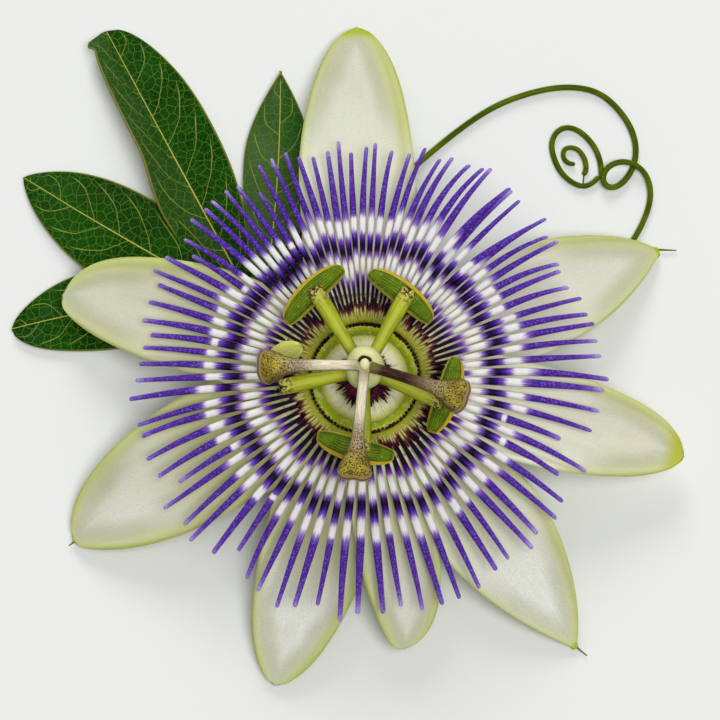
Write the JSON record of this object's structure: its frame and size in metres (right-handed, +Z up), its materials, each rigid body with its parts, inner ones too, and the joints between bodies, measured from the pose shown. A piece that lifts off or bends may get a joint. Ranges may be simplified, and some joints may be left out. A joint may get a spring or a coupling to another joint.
{
  "type": "passion flower",
  "caption": "Open passion flower lying on its back on a short piece of vine, with a palmate leaf and a long tendril that loops over itself and curls, a ring of banded filaments and raised stamens and styles.",
  "frame": {"origin": "on the surface the flower lies on, under the middle of the whole spray", "axes": "+Z up out of the open flower, +Y towards the top sepal, +X towards the right petal"},
  "size_m": [0.0984, 0.0974, 0.0267],
  "materials": {
    "sepal": "satin, finely grained, pale green with yellow-green rims",
    "petal": "satin, finely grained, near white",
    "calyx": "satin, pale green",
    "corona": "satin, banded violet, white and dark purple",
    "inner_corona": "satin, pale green with maroon tips",
    "nectar_ring": "satin, bright green with a dark beaded edge",
    "nectar_cover": "satin, cream with a dark purple fringe",
    "column": "satin, yellow-green",
    "anther": "satin, green with golden edges",
    "ovary": "satin, waxy pale green",
    "style": "satin, beige with brown speckles",
    "leaf": "glossy, dark green with pale veins",
    "stem": "satin, olive green"
  },
  "bodies": {
    "root": {"vine_stem": "stem", "leaf": "leaf", "flower_stalk": "stem", "tendril_long": "stem", "tendril_curl": "stem", "bract_1": "stem", "bract_2": "stem", "bract_3": "stem", "calyx_cup": "calyx", "sepal_top": "sepal", "sepal_upper_right": "sepal", "sepal_lower_right": "sepal", "sepal_lower_left": "sepal", "sepal_left": "sepal", "petal_right": "petal", "petal_bottom": "petal", "petal_upper_left": "petal", "corona": "corona", "inner_filaments": "inner_corona", "nectar_ring": "nectar_ring", "nectar_cover": "nectar_cover", "column": "column", "stamen_filament_1": "column", "anther_1": "anther", "stamen_filament_2": "column", "anther_2": "anther", "stamen_filament_3": "column", "anther_3": "anther", "stamen_filament_4": "column", "anther_4": "anther", "stamen_filament_5": "column", "anther_5": "anther", "ovary": "ovary", "style_1": "style", "style_2": "style", "style_3": "style"}
  },
  "joints": []
}
